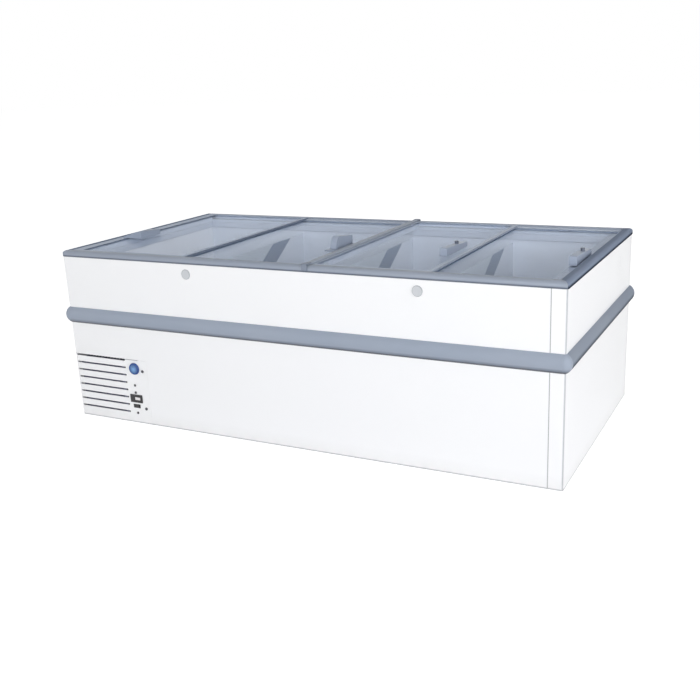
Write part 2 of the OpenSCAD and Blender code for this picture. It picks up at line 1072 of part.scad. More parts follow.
module display_lens() {
    color("lightgray")
        along_y(front_y - 3.6, front_y - 2 - 0.1)
            translate(display_at + [lens_off, 0])
                square([for (s = lens_size) s - 2 * pane_play], center = true);
}

// Rocker: pivot line, tilt at rest and size
rocker_y = front_y + 3;
rocker_tilt = 8;
rocker_size = [25.2, 9.4];
rocker_room = [28.4, 10.4];

module switch_bezel() {
    face = [34, 16];
    body = [30, 12];
    color(black)
        difference() {
            union() {
                along_y(front_y - 2, front_y - 0.2)
                    translate(switch_at)
                        square(face, center = true);
                along_y(front_y - 1, front_y + 24)
                    translate(switch_at)
                        square(body, center = true);
            }
            along_y(front_y - 3, front_y + 16)
                translate(switch_at)
                    square(rocker_room, center = true);
        }
}

module switch_rocker() {
    half = rocker_size[0] / 2;
    color(black)
        translate([switch_at[0], rocker_y, switch_at[1] - rocker_size[1] / 2])
            rotate([0, 0, -rocker_tilt])
                linear_extrude(rocker_size[1])
                    polygon([[-half, 4], [half, 4], [half, -7], [0, -5.5], [-half, -7]]);
}

module indicator_lamps() {
    color("dimgray")
        for (z = lamp_zs) {
            translate([lamp_x, front_y - 0.2, z])
                rotate([90, 0, 0])
                    rotate_extrude()
                        polygon([[0, 0], [5.5, 0], [5.5, 1.2], [4, 2.6], [0, 3.2]]);
            y_bar([lamp_x, z], front_y - 0.3, front_y + 14, 4);
        }
}

module plug_caps() {
    color("silver")
        for (x = plug_xs) {
            translate([x, front_y - 0.2, plug_z])
                rotate([90, 0, 0])
                    rotate_extrude()
                        polygon([[0, 0], [plug_r, 0], [plug_r, 1.6], [plug_r - 1.5, 3.2], [0, 3.2]]);
            y_bar([x, plug_z], front_y - 0.3, front_y + 14, 7);
        }
}

// Loose sheets that part the tub under the lid overlaps and the cross bar
module dividers() {
    half_y = liner_y - liner_t - gap;
    xs = [lid_span(1)[1] - lid_overlap / 2, bar_x, lid_span(3)[1] - lid_overlap / 2];
    color(liner_grey)
        for (x = xs)
            block([x - divider_t / 2, -half_y, floor_z + liner_t], [x + divider_t / 2, half_y, divider_z]);
}

module cable_gland() {
    inner = body_d / 2 - sheet_t;
    color(black)
        difference() {
            union() {
                y_bar(gland_at, inner - 8, inner + sheet_t + 9, 8.8);
                y_bar(gland_at, inner + sheet_t + 0.1, inner + sheet_t + 5, 13);
                y_bar(gland_at, inner - 5, inner - 0.1, 13);
            }
            y_bar(gland_at, inner - 9, inner + 20, 5);
        }
}

base_pan();
levelling_feet();
front_panel();
rear_panel();
end_panel_left();
end_panel_right();
machine_cover();
cover_screws();
bay_liner();
foam_insulation();
liner_front();
liner_rear();
liner_left();
liner_right();
liner_floor();
evaporator_coils();
breaker_collar();
rim_front();
rim_rear();
rim_left();
rim_right();
centre_bar();
bar_end_caps();
bumper_front();
bumper_rear();
bumper_left();
bumper_right();
bumper_corners();
lid_1_frame();
lid_1_glass();
lid_1_handle();
lid_2_frame();
lid_2_glass();
lid_2_handle();
lid_3_frame();
lid_3_glass();
lid_3_handle();
lid_3_lock();
lid_4_frame();
lid_4_glass();
lid_4_handle();
lid_4_lock();
compressor();
compressor_mounts();
condenser();
fan_bracket();
fan_motor();
fan_blade();
refrigerant_pipes();
filter_drier();
control_box();
thermostat_knob();
display_unit();
display_lens();
switch_bezel();
switch_rocker();
indicator_lamps();
plug_caps();
dividers();
cable_gland();
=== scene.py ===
import json
import math
import bpy
import bmesh
from mathutils import Matrix, Vector

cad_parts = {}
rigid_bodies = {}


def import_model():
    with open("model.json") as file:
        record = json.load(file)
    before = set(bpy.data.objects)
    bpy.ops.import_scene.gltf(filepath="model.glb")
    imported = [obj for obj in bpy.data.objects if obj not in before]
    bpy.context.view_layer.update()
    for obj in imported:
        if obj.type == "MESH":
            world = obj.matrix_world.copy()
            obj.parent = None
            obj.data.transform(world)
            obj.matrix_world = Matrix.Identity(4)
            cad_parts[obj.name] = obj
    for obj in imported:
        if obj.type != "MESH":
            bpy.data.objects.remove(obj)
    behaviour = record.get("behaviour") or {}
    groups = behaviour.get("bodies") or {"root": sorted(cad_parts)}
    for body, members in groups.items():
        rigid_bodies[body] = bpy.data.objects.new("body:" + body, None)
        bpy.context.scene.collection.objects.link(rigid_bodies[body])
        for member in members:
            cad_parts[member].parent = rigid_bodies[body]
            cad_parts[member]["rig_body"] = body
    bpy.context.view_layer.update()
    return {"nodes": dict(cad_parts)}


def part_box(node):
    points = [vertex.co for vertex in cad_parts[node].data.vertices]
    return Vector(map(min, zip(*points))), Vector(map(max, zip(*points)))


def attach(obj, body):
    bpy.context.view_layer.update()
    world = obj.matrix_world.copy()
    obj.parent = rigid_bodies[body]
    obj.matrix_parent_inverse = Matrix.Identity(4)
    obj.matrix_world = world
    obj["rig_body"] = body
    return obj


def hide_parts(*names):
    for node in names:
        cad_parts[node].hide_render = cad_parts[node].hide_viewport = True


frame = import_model()
scene = bpy.context.scene
nodes = frame["nodes"]
slotOf = {name: ob.material_slots[0].material.name.split(".")[0] for name, ob in nodes.items()}


def middle(node):
    low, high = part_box(node)
    return (Vector(low) + Vector(high)) / 2


# camera at the photo's view: angles in degrees, lens and sensor in mm, the rest in m
photoView = dict(azimuth=27.609, elevation=16.692, roll=-2.507, lens=47.729, sensor=36.0,
                 place=(1.715693, -3.283335, 1.364884), clipEnd=200)


def setCamera(view):
    a, e, r = (math.radians(view[k]) for k in ("azimuth", "elevation", "roll"))
    back = Vector((math.sin(a) * math.cos(e), -math.cos(a) * math.cos(e), math.sin(e)))
    right = (-back).cross(Vector((0, 0, 1))).normalized()
    up = right.cross(-back)
    side = right * math.cos(r) + up * math.sin(r)
    top = up * math.cos(r) - right * math.sin(r)
    data = bpy.data.cameras.new("photoCamera")
    data.sensor_width = view["sensor"]
    data.sensor_fit = "HORIZONTAL"
    data.lens = view["lens"]
    data.clip_end = view["clipEnd"]
    cam = bpy.data.objects.new("photoCamera", data)
    scene.collection.objects.link(cam)
    turn = Matrix((side, top, back)).transposed().to_4x4()
    cam.matrix_world = Matrix.Translation(view["place"]) @ turn
    scene.camera = cam


setCamera(photoView)
print("camera set")


def tone(red, green, blue):
    # screen colour 0..255 to the linear colour that sockets take
    def straight(c):
        c /= 255
        return c / 12.92 if c <= 0.04045 else ((c + 0.055) / 1.055) ** 2.4
    return (straight(red), straight(green), straight(blue), 1.0)


# short forms for node trees
def join(tree, fromSocket, toSocket):
    tree.links.new(fromSocket, toSocket)


def feed(tree, socket, end):
    # a number goes in as a plain value, a socket as a link
    if isinstance(end, (int, float)):
        socket.default_value = end
    else:
        join(tree, end, socket)


def put(tree, kind, **values):
    # a node with its plain values; a key such as in_Scale sets an input socket
    node = tree.nodes.new(kind)
    for key, value in values.items():
        if key.startswith("in_"):
            node.inputs[key[3:].replace("_", " ")].default_value = value
        else:
            setattr(node, key, value)
    return node


def calc(tree, a, b, operation="MULTIPLY"):
    node = put(tree, "ShaderNodeMath", operation=operation)
    feed(tree, node.inputs[0], a)
    feed(tree, node.inputs[1], b)
    return node.outputs[0]


def absolute(tree, value):
    return calc(tree, value, 0, "ABSOLUTE")


def spread(tree, value, fromRange, toRange):
    # maps a value from one range onto another, held at the ends
    node = put(tree, "ShaderNodeMapRange", clamp=True)
    labels = ("Value", "From Min", "From Max", "To Min", "To Max")
    for label, end in zip(labels, (value, *fromRange, *toRange)):
        feed(tree, node.inputs[label], end)
    return node.outputs["Result"]


def blendColor(tree, factor, colorA, colorB):
    # the mix node has an A and a B for each kind of data, so the colour ones go by their places
    node = put(tree, "ShaderNodeMix", data_type="RGBA")
    for place, end in ((0, factor), (6, colorA), (7, colorB)):
        join(tree, end, node.inputs[place])
    return node.outputs[2]


def noiseAt(tree, place, scale, detail, rough=0.5):
    node = put(tree, "ShaderNodeTexNoise", in_Detail=detail, in_Roughness=rough)
    feed(tree, node.inputs["Scale"], scale)
    join(tree, place, node.inputs["Vector"])
    return node.outputs["Fac"]


def split(tree, vector):
    parts = put(tree, "ShaderNodeSeparateXYZ")
    join(tree, vector, parts.inputs[0])
    return parts.outputs["X"], parts.outputs["Y"], parts.outputs["Z"]


def pack(tree, x=None, y=None, z=None):
    node = put(tree, "ShaderNodeCombineXYZ")
    for socket, end in zip(node.inputs, (x, y, z)):
        if end is not None:
            join(tree, end, socket)
    return node.outputs[0]


def objectPlace(tree):
    return put(tree, "ShaderNodeTexCoord").outputs["Object"]


def faceNormal(tree):
    return put(tree, "ShaderNodeNewGeometry").outputs["Normal"]


# shared effects, one node group each
colorKind = "NodeSocketColor"
floatKind = "NodeSocketFloat"
plainGrey = (0.5, 0.5, 0.5, 1)
colorOutput = (("Color", colorKind),)
skinOutputs = (("Color", colorKind), ("Roughness", floatKind), ("Height", floatKind))


def newGroup(name, colors, values, outputs=colorOutput):
    # colours start as plain grey, since each finish gives its own
    tree = bpy.data.node_groups.new(name, "ShaderNodeTree")
    inputs = [(label, colorKind, plainGrey) for label in colors]
    inputs += [(label, floatKind, value) for label, value in values.items()]
    for label, kind, value in inputs:
        socket = tree.interface.new_socket(label, in_out="INPUT", socket_type=kind)
        socket.default_value = value
    for label, kind in outputs:
        tree.interface.new_socket(label, in_out="OUTPUT", socket_type=kind)
    return tree, tree.nodes.new("NodeGroupInput").outputs, tree.nodes.new("NodeGroupOutput").inputs


def mouldedGrain():
    # fine spark-eroded skin with slow drifts of shade, for plastic and paint
    tree, given, out = newGroup("mouldedGrain", ("Color", "Drift Color"), {
        "Drift Scale": 3, "Grain Scale": 900, "Rough Low": 0.35, "Rough High": 0.5}, skinOutputs)
    driftBand = (0.35, 0.65)
    smearBand = (0.1, 0.9)
    driftShare = 0.6
    place = objectPlace(tree)
    drift = spread(tree, noiseAt(tree, place, given["Drift Scale"], detail=3), driftBand, (0, 1))
    fine = noiseAt(tree, place, given["Grain Scale"], detail=2)
    smear = calc(tree, calc(tree, drift, driftShare), calc(tree, fine, 1 - driftShare), "ADD")
    join(tree, blendColor(tree, drift, given["Color"], given["Drift Color"]), out["Color"])
    join(tree, spread(tree, smear, smearBand, (given["Rough Low"], given["Rough High"])), out["Roughness"])
    join(tree, fine, out["Height"])
    return tree


def drawnMetal():
    # streaks along one direction, for rolled sheet and turned parts
    tree, given, out = newGroup("drawnMetal", ("Color", "Streak Color"), {
        "Across": 700, "Along": 12, "Rough Low": 0.25, "Rough High": 0.45}, skinOutputs)
    streakBand = (0.3, 0.7)
    x, y, z = split(tree, objectPlace(tree))
    drawn = pack(tree, calc(tree, x, given["Along"]), calc(tree, y, given["Across"]),
                 calc(tree, z, given["Across"]))
    streak = noiseAt(tree, drawn, 1.0, detail=3)
    mask = spread(tree, streak, streakBand, (0, 1))
    join(tree, blendColor(tree, mask, given["Color"], given["Streak Color"]), out["Color"])
    join(tree, spread(tree, mask, (0, 1), (given["Rough Low"], given["Rough High"])), out["Roughness"])
    join(tree, streak, out["Height"])
    return tree


def spangledZinc():
    # crystal patches of a hot-dip zinc coat, or the cells of foam
    tree, given, out = newGroup("spangledZinc", ("Color", "Patch Color"), {
        "Patch Scale": 60, "Rough Low": 0.3, "Rough High": 0.5}, skinOutputs)
    cells = put(tree, "ShaderNodeTexVoronoi")
    join(tree, objectPlace(tree), cells.inputs["Vector"])
    join(tree, given["Patch Scale"], cells.inputs["Scale"])
    shade = put(tree, "ShaderNodeSeparateColor")
    join(tree, cells.outputs["Color"], shade.inputs[0])
    rough = spread(tree, shade.outputs[1], (0, 1), (given["Rough Low"], given["Rough High"]))
    join(tree, blendColor(tree, shade.outputs[0], given["Color"], given["Patch Color"]), out["Color"])
    join(tree, rough, out["Roughness"])
    join(tree, cells.outputs["Distance"], out["Height"])
    return tree


def edgeWearAndShade():
    # another colour along the rounded edges, where the piece carries an edge attribute: a painted shade that
    # outlines the edges, and paler wear where the edge colour is paler
    tree, given, out = newGroup("edgeWearAndShade", ("Color", "Edge Color"), {"Amount": 0.6})
    patchScale = 40
    patchBand = (0.3, 0.6)
    leastEdgeMark = 0.6
    edge = put(tree, "ShaderNodeAttribute", attribute_name="edge").outputs["Fac"]
    cloud = noiseAt(tree, objectPlace(tree), patchScale, detail=4)
    patch = spread(tree, cloud, patchBand, (leastEdgeMark, 1))
    mask = calc(tree, calc(tree, edge, patch), given["Amount"])
    join(tree, blendColor(tree, mask, given["Color"], given["Edge Color"]), out["Color"])
    return tree


def settledDust():
    # a film on upward faces and towards the floor
    tree, given, out = newGroup("settledDust", ("Color", "Dust Color"), {
        "On Top": 0.1, "Near Floor": 0.1, "Reach": 0.1})
    slopeBand = (0.5, 1)
    patchScale = 9
    patchBand = (0.3, 0.75)
    leastDust = 0.3
    place = objectPlace(tree)
    z = split(tree, place)[2]
    nz = split(tree, faceNormal(tree))[2]
    upward = spread(tree, nz, slopeBand, (0, given["On Top"]))
    floorward = spread(tree, calc(tree, z, given["Reach"], "DIVIDE"), (0, 1), (given["Near Floor"], 0))
    cloud = noiseAt(tree, place, patchScale, detail=6, rough=0.6)
    patch = spread(tree, cloud, patchBand, (leastDust, 1))
    mask = calc(tree, calc(tree, upward, floorward, "MAXIMUM"), patch)
    join(tree, blendColor(tree, mask, given["Color"], given["Dust Color"]), out["Color"])
    return tree


def seamLinesAndShade():
    # grey lines where the sheets of the shell meet and end, with painted shade on the rounded corner folds
    # and just above the lower edge
    tree, given, out = newGroup("seamLinesAndShade", ("Color", "Line Color"), {
        "Front Seam": 1, "Rear Seam": 0.5, "Half Width": 0.0014, "Cover Top": 0.3, "Line End": -0.7,
        "Base": 0})
    softEdge = (0.7, 1.3)      # of the half width
    turnedTo = 0.5             # a face's normal from here on looks that way
    foldShadeBand = (0.25, 0.46)
    foldShadeShare = 0.75
    baseShadeBand = (0.001, 0.007)  # m above the lower edge
    baseShadeShare = 0.85
    x, y, z = split(tree, objectPlace(tree))
    nx, ny = split(tree, faceNormal(tree))[:2]

    def line(value, label):
        off = absolute(tree, calc(tree, value, given[label], "SUBTRACT"))
        return spread(tree, calc(tree, off, given["Half Width"], "DIVIDE"), softEdge, (1, 0))

    facing = calc(tree, ny, -turnedTo, "LESS_THAN")
    sideways = calc(tree, nx, turnedTo, "GREATER_THAN")
    overCover = calc(tree, x, given["Line End"], "LESS_THAN")
    # painted shade: darker on the rounded corners, by the face's normal, and in a band just above the lower
    # edge
    foldShade = spread(tree, absolute(tree, calc(tree, nx, ny)), foldShadeBand, (0, foldShadeShare))
    low = spread(tree, calc(tree, z, given["Base"], "SUBTRACT"), baseShadeBand, (baseShadeShare, 0))
    mask = calc(tree, line(x, "Front Seam"), facing)
    for other in (calc(tree, line(y, "Rear Seam"), sideways),
                  calc(tree, calc(tree, line(z, "Cover Top"), facing), overCover), foldShade, low):
        mask = calc(tree, mask, other, "MAXIMUM")
    join(tree, blendColor(tree, mask, given["Color"], given["Line Color"]), out["Color"])
    return tree


def underShade():
    # painted shade on outside faces that look down and along a low edge, painted light on the ledges that
    # the lids cover
    tree, given, out = newGroup("underShade", ("Color", "Shade Color", "Lit Inner Color"), {
        "Low Edge": 0, "Edge Height": 0.003, "Amount": 0.8, "Inner Top": 0.7,
        "Half Length": 1.025, "Half Depth": 0.505})
    downBand = (-0.95, -0.35)
    fadeBand = (0.4, 1)  # of the edge height
    x, y, z = split(tree, objectPlace(tree))
    nz = split(tree, faceNormal(tree))[2]
    atEnds = calc(tree, absolute(tree, x), given["Half Length"], "GREATER_THAN")
    atFront = calc(tree, absolute(tree, y), given["Half Depth"], "GREATER_THAN")
    outside = calc(tree, atEnds, atFront, "MAXIMUM")
    # painted light: faces inside the rim below the inner top take a paler colour
    litLedges = calc(tree, calc(tree, z, given["Inner Top"], "LESS_THAN"), outside, "GREATER_THAN")
    above = calc(tree, z, given["Low Edge"], "SUBTRACT")
    rise = calc(tree, above, given["Edge Height"], "DIVIDE")
    low = calc(tree, spread(tree, nz, downBand, (1, 0)), spread(tree, rise, fadeBand, (1, 0)), "MAXIMUM")
    mask = calc(tree, calc(tree, low, outside), given["Amount"])
    shaded = blendColor(tree, mask, given["Color"], given["Shade Color"])
    join(tree, blendColor(tree, litLedges, shaded, given["Lit Inner Color"]), out["Color"])
    return tree


def endShade():
    # painted shade on faces that look along X and painted light on faces that look along Y
    tree, given, out = newGroup("endShade", ("Color", "Shade End Color", "Light Side Color"), {"Amount": 0.8})
    turnBand = (0.6, 0.9)
    color = given["Color"]
    nx, ny = split(tree, faceNormal(tree))[:2]
    for part, label in ((nx, "Shade End Color"), (ny, "Light Side Color")):
        mask = calc(tree, spread(tree, absolute(tree, part), turnBand, (0, 1)), given["Amount"])
        color = blendColor(tree, mask, color, given[label])
    join(tree, color, out["Color"])
    return tree


def slantedShade():
    # painted shade on the dividers: a dark slanted field below a level and between two sloping edges, and a
    # greyer front part
    tree, given, out = newGroup("slantedShade", ("Color", "Shade Color", "Front Shade Color"), {
        "Top": 0.6, "Rear Edge": 0.3, "Width": 0.17, "Slope": 1.3})
    frontBand = (-1.03, -0.97)   # of the field's width, from its rear edge
    rearBand = (-0.03, 0.03)
    frontShadeBand = (-0.4, 0.2)
    topBand = (-0.003, 0.003)    # m below the level
    y, z = split(tree, objectPlace(tree))[1:]
    depth = calc(tree, given["Top"], z, "SUBTRACT")
    behind = calc(tree, calc(tree, y, given["Rear Edge"], "SUBTRACT"),
                  calc(tree, depth, given["Slope"]), "ADD")
    along = calc(tree, behind, given["Width"], "DIVIDE")
    within = calc(tree, spread(tree, along, frontBand, (0, 1)), spread(tree, along, rearBand, (1, 0)))
    mask = calc(tree, within, spread(tree, depth, topBand, (0, 1)))
    # painted shade: greyer towards the front of each divider
    frontShade = spread(tree, along, frontShadeBand, (1, 0))
    base = blendColor(tree, frontShade, given["Color"], given["Front Shade Color"])
    join(tree, blendColor(tree, mask, base, given["Shade Color"]), out["Color"])
    return tree


def dialHighlight():
    # a painted highlight: a paler middle inside a dark rim, centred on the dial's axis
    tree, given, out = newGroup("dialHighlight", ("Color", "Highlight Color"), {
        "Axis X": 0, "Axis Z": 0, "Inner": 0.008, "Outer": 0.018})
    x, _, z = split(tree, objectPlace(tree))
    length = put(tree, "ShaderNodeVectorMath", operation="LENGTH")
    join(tree, pack(tree, calc(tree, x, given["Axis X"], "SUBTRACT"),
                    calc(tree, z, given["Axis Z"], "SUBTRACT")), length.inputs[0])
    past = calc(tree, length.outputs["Value"], given["Inner"], "SUBTRACT")
    reach = calc(tree, past, calc(tree, given["Outer"], given["Inner"], "SUBTRACT"), "DIVIDE")
    mask = spread(tree, reach, (0, 1), (1, 0))
    join(tree, blendColor(tree, mask, given["Color"], given["Highlight Color"]), out["Color"])
    return tree


effects = {f.__name__: f() for f in (mouldedGrain, drawnMetal, spangledZinc, edgeWearAndShade, settledDust,
                                     seamLinesAndShade, underShade, endShade, slantedShade, dialHighlight)}
print("effects:", ", ".join(effects))


# finishes
reliefStrength = 0.6


def addEffect(tree, name, values):
    node = put(tree, "ShaderNodeGroup", node_tree=effects[name])
    for label, value in values.items():
        node.inputs[label].default_value = value
    return node


def makeFinish(name, effect, values, shader=None, bump=0.0, extras=()):
    # extras: further effects, each a name and its values, laid over the first one's colour
    mat = bpy.data.materials.new(name)
    mat.use_nodes = True
    tree = mat.node_tree
    surface = tree.nodes["Principled BSDF"]
    for label, value in (shader or {}).items():
        surface.inputs[label].default_value = value
    skin = addEffect(tree, effect, values)
    color = skin.outputs["Color"]
    for extra, extraValues in extras:
        node = addEffect(tree, extra, extraValues)
        join(tree, color, node.inputs["Color"])
        color = node.outputs["Color"]
    join(tree, color, surface.inputs["Base Color"])
    join(tree, skin.outputs["Roughness"], surface.inputs["Roughness"])
    if bump:
        relief = put(tree, "ShaderNodeBump", in_Strength=reliefStrength, in_Distance=bump)
        join(tree, skin.outputs["Height"], relief.inputs["Height"])
        join(tree, relief.outputs["Normal"], surface.inputs["Normal"])
    return mat


def plastic(name, color, drift, rough, extras=(), grain=900, bump=0.00012, shader=None, driftScale=2.5):
    values = {"Color": tone(*color), "Drift Color": tone(*drift), "Drift Scale": driftScale,
              "Grain Scale": grain, "Rough Low": rough[0], "Rough High": rough[1]}
    return makeFinish(name, "mouldedGrain", values, shader, bump, extras)


def metal(name, color, streak, rough, extras=(), across=700, along=12, metallic=1.0, bump=0.0):
    values = {"Color": tone(*color), "Streak Color": tone(*streak), "Across": across, "Along": along,
              "Rough Low": rough[0], "Rough High": rough[1]}
    return makeFinish(name, "drawnMetal", values, {"Metallic": metallic}, bump, extras)


def patched(name, color, patch, rough, extras=(), scale=60, metallic=0.0, bump=0.0):
    values = {"Color": tone(*color), "Patch Color": tone(*patch), "Patch Scale": scale,
              "Rough Low": rough[0], "Rough High": rough[1]}
    return makeFinish(name, "spangledZinc", values, {"Metallic": metallic}, bump, extras)


def linerSheet(name, color, drift, extras=()):
    return plastic(name, color, drift, (0.34, 0.44), extras, grain=260, bump=0.00006, driftScale=1.2)


# effects that are laid over a finish
# painted shade along rounded edges; a paler edge colour reads as wear
def edgeWornAndShaded(color, amount):
    return "edgeWearAndShade", {"Edge Color": tone(*color), "Amount": amount}


def dusted(color, onTop, nearFloor, reach):
    return "settledDust", {"Dust Color": tone(*color), "On Top": onTop, "Near Floor": nearFloor,
                           "Reach": reach}


# painted shade below a low edge, and painted light on the ledges that the lids cover
def shadedBelow(color, lowEdge, height, amount):
    return "underShade", {"Shade Color": tone(*color), "Low Edge": lowEdge, "Edge Height": height,
                          "Amount": amount, "Lit Inner Color": tone(206, 213, 224), "Inner Top": upperLidLow}


# painted shade on the ends of the lid frames, painted light on their sides
def shadedEndsLitSides(color):
    return "endShade", {"Shade End Color": tone(*color), "Light Side Color": tone(206, 213, 224), "Amount": 0.9}


panelLow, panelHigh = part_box("front_panel")
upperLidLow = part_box("lid_1_frame")[0][2]
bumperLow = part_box("bumper_front")[0][2]
rimLow = panelHigh[2]
dialAxis = middle("thermostat_knob")

floorDust = dusted((196, 193, 188), onTop=0.0, nearFloor=0.3, reach=0.07)
topDust = dusted((176, 180, 186), onTop=0.08, nearFloor=0.0, reach=0.09)
bayDust = dusted((120, 116, 110), onTop=0.5, nearFloor=0.2, reach=0.3)
rimShade = shadedBelow((78, 86, 100), rimLow, height=0.008, amount=0.85)
endRimShade = shadedBelow((28, 33, 44), rimLow, height=0.013, amount=0.9)
bumperShade = shadedBelow((50, 56, 68), bumperLow, height=0.014, amount=0.9)
endBumperShade = shadedBelow((18, 21, 29), bumperLow, height=0.038, amount=0.95)
# seam lines of the shell, with painted shade on the corner folds and along the base
shellLinesAndShade = ("seamLinesAndShade", {
    "Line Color": tone(150, 152, 160), "Front Seam": panelHigh[0], "Rear Seam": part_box("rear_panel")[0][1],
    "Half Width": 0.0014, "Cover Top": 0.2862, "Line End": -0.702, "Base": panelLow[2]})
dividerShade = ("slantedShade", {
    "Shade Color": tone(122, 140, 166), "Front Shade Color": tone(212, 220, 227), "Top": 0.649,
    "Rear Edge": 0.33, "Width": 0.15, "Slope": 1.58})
# painted highlight in the middle of the dial
dialHighlightLook = ("dialHighlight", {
    "Highlight Color": tone(116, 164, 214), "Axis X": dialAxis.x, "Axis Z": dialAxis.z,
    "Inner": 0.003, "Outer": 0.02})
flatSheen = {"Specular IOR Level": 0.12}
softSheen = {"Specular IOR Level": 0.3}
dullSheen = {"Specular IOR Level": 0.0}

finishes = {  # one for each of the record's slots, apart from the glass
    "white_sheet": plastic("whiteEnamel", (242, 243, 245), (241, 242, 245), (0.27, 0.31),
                           [shellLinesAndShade, floorDust], grain=420, bump=0.00004, driftScale=0.7),
    "rim_plastic": plastic("rimPlastic", (154, 162, 176), (150, 159, 174), (0.38, 0.48),
                           [edgeWornAndShaded((112, 121, 137), 0.5), rimShade, topDust], shader=flatSheen),
    "lid_plastic": plastic("lidPlastic", (170, 183, 204), (166, 180, 202), (0.36, 0.46),
                           [shadedEndsLitSides((118, 128, 147)), topDust], shader=flatSheen),
    "handle_plastic": plastic("handlePlastic", (162, 172, 190), (157, 168, 187), (0.32, 0.42),
                              [edgeWornAndShaded((112, 122, 138), 0.7)], shader=softSheen),
    "bumper_plastic": plastic("bumperPlastic", (156, 165, 180), (152, 162, 178), (0.28, 0.36),
                              [bumperShade], grain=600, shader=flatSheen),
    "collar_plastic": plastic("collarPlastic", (208, 214, 224), (204, 211, 222), (0.36, 0.48)),
    "cap_grey": plastic("capGrey", (199, 202, 207), (195, 199, 204), (0.34, 0.44),
                        [edgeWornAndShaded((136, 140, 147), 0.9)]),
    "black_plastic": plastic("blackPlastic", (30, 29, 32), (36, 35, 38), (0.34, 0.48),
                             [edgeWornAndShaded((58, 58, 62), 0.5)]),
    "foot_rubber": plastic("footRubber", (44, 44, 45), (56, 55, 54), (0.65, 0.85), [bayDust],
                           grain=500, bump=0.0003),
    "dial_blue": plastic("dialBlue", (36, 74, 138), (33, 69, 132), (0.2, 0.3),
                         [dialHighlightLook, edgeWornAndShaded((28, 58, 116), 0.6)], bump=0.00004),
    "lens_pale": plastic("lensPale", (226, 222, 224), (232, 230, 232), (0.12, 0.2), bump=0.0),
    "lamp_dark": plastic("lampDark", (58, 57, 62), (66, 64, 70), (0.1, 0.2), bump=0.0),
    "black_metal": plastic("blackEnamel", (28, 28, 30), (34, 34, 35), (0.3, 0.5), [bayDust],
                           grain=300, bump=0.0002),
    "liner_sheet": linerSheet("linerSheet", (231, 236, 243), (227, 232, 240)),
    "zinc_sheet": patched("zincSheet", (176, 179, 182), (204, 206, 208), (0.32, 0.5), [bayDust],
                          scale=70, metallic=0.85, bump=0.00005),
    # the foam's own yellow, darkened with painted shade so the gap in front of it reads dim
    "foam": patched("shadedFoamCells", (190, 182, 158), (178, 169, 144), (0.8, 0.95), scale=420, bump=0.0006),
    "copper_tube": metal("copperTube", (206, 140, 104), (164, 100, 72), (0.25, 0.45), [bayDust],
                         across=60, along=25, metallic=1.0, bump=0.00003),
    "fin_metal": metal("finMetal", (176, 177, 204), (150, 151, 180), (0.45, 0.65),
                       across=220, along=40, metallic=0.2, bump=0.00004),
    "lock_metal": metal("lockMetal", (108, 114, 126), (92, 99, 112), (0.24, 0.4),
                        [edgeWornAndShaded((58, 65, 77), 0.9)], across=900, along=60, metallic=0.7, bump=0.00002),
}
nodeFinishes = {  # nodes that differ from their slot's plain finish
    "dividers": linerSheet("dividerSheet", (231, 236, 243), (227, 232, 240), [dividerShade]),
    "liner_left": linerSheet("litSheet", (250, 251, 253), (247, 249, 252)),
    "cover_screws": metal("screwSteel", (96, 96, 101), (80, 80, 86), (0.3, 0.45),
                          across=700, along=500, metallic=0.6, bump=0.00002),
    "bar_end_caps": plastic("barCap", (134, 142, 157), (130, 139, 154), (0.36, 0.46),
                            [edgeWornAndShaded((92, 100, 115), 0.8)], shader=flatSheen),
    # painted light: lid 3's frame is a paler copy of the lid plastic, with paler ends
    "lid_3_frame": plastic("paleLid", (178, 190, 208), (174, 187, 206), (0.36, 0.46),
                           [shadedEndsLitSides((156, 165, 181)), topDust], shader=flatSheen),
    "lid_1_handle": plastic("plateHandle", (162, 172, 189), (157, 168, 186), (0.34, 0.44),
                            [edgeWornAndShaded((88, 98, 114), 0.8)], shader=flatSheen),
}
# painted shade: the rims and bumpers at the two ends are darker, bluer copies of the front ones
endRim = plastic("endRim", (138, 149, 169), (132, 144, 165), (0.38, 0.48),
                 [edgeWornAndShaded((96, 107, 127), 0.5), endRimShade], shader=dullSheen)
endBumper = plastic("endBumper", (152, 160, 173), (143, 151, 166), (0.28, 0.36),
                    [endBumperShade], grain=600, shader=dullSheen)
for side in ("left", "right"):
    nodeFinishes["rim_" + side] = endRim
    nodeFinishes["bumper_" + side] = endBumper


def finishOf(node):
    return nodeFinishes.get(node, finishes[slotOf[node]])


def lightRays(tree):
    # 1 for rays that come straight or by a mirror or a pane from the camera
    path = put(tree, "ShaderNodeLightPath").outputs
    seen = calc(tree, path["Is Camera Ray"], path["Is Glossy Ray"], "MAXIMUM")
    return calc(tree, seen, path["Is Transmission Ray"], "MAXIMUM")


paneLook = dict(color=tone(236, 242, 252), tint=tone(249, 251, 254), ior=1.38,
                share=0.09,  # of the glass proper in the mix with plain clearness
                marks={"Drift Scale": 6, "Grain Scale": 30, "Rough Low": 0.0, "Rough High": 0.012})


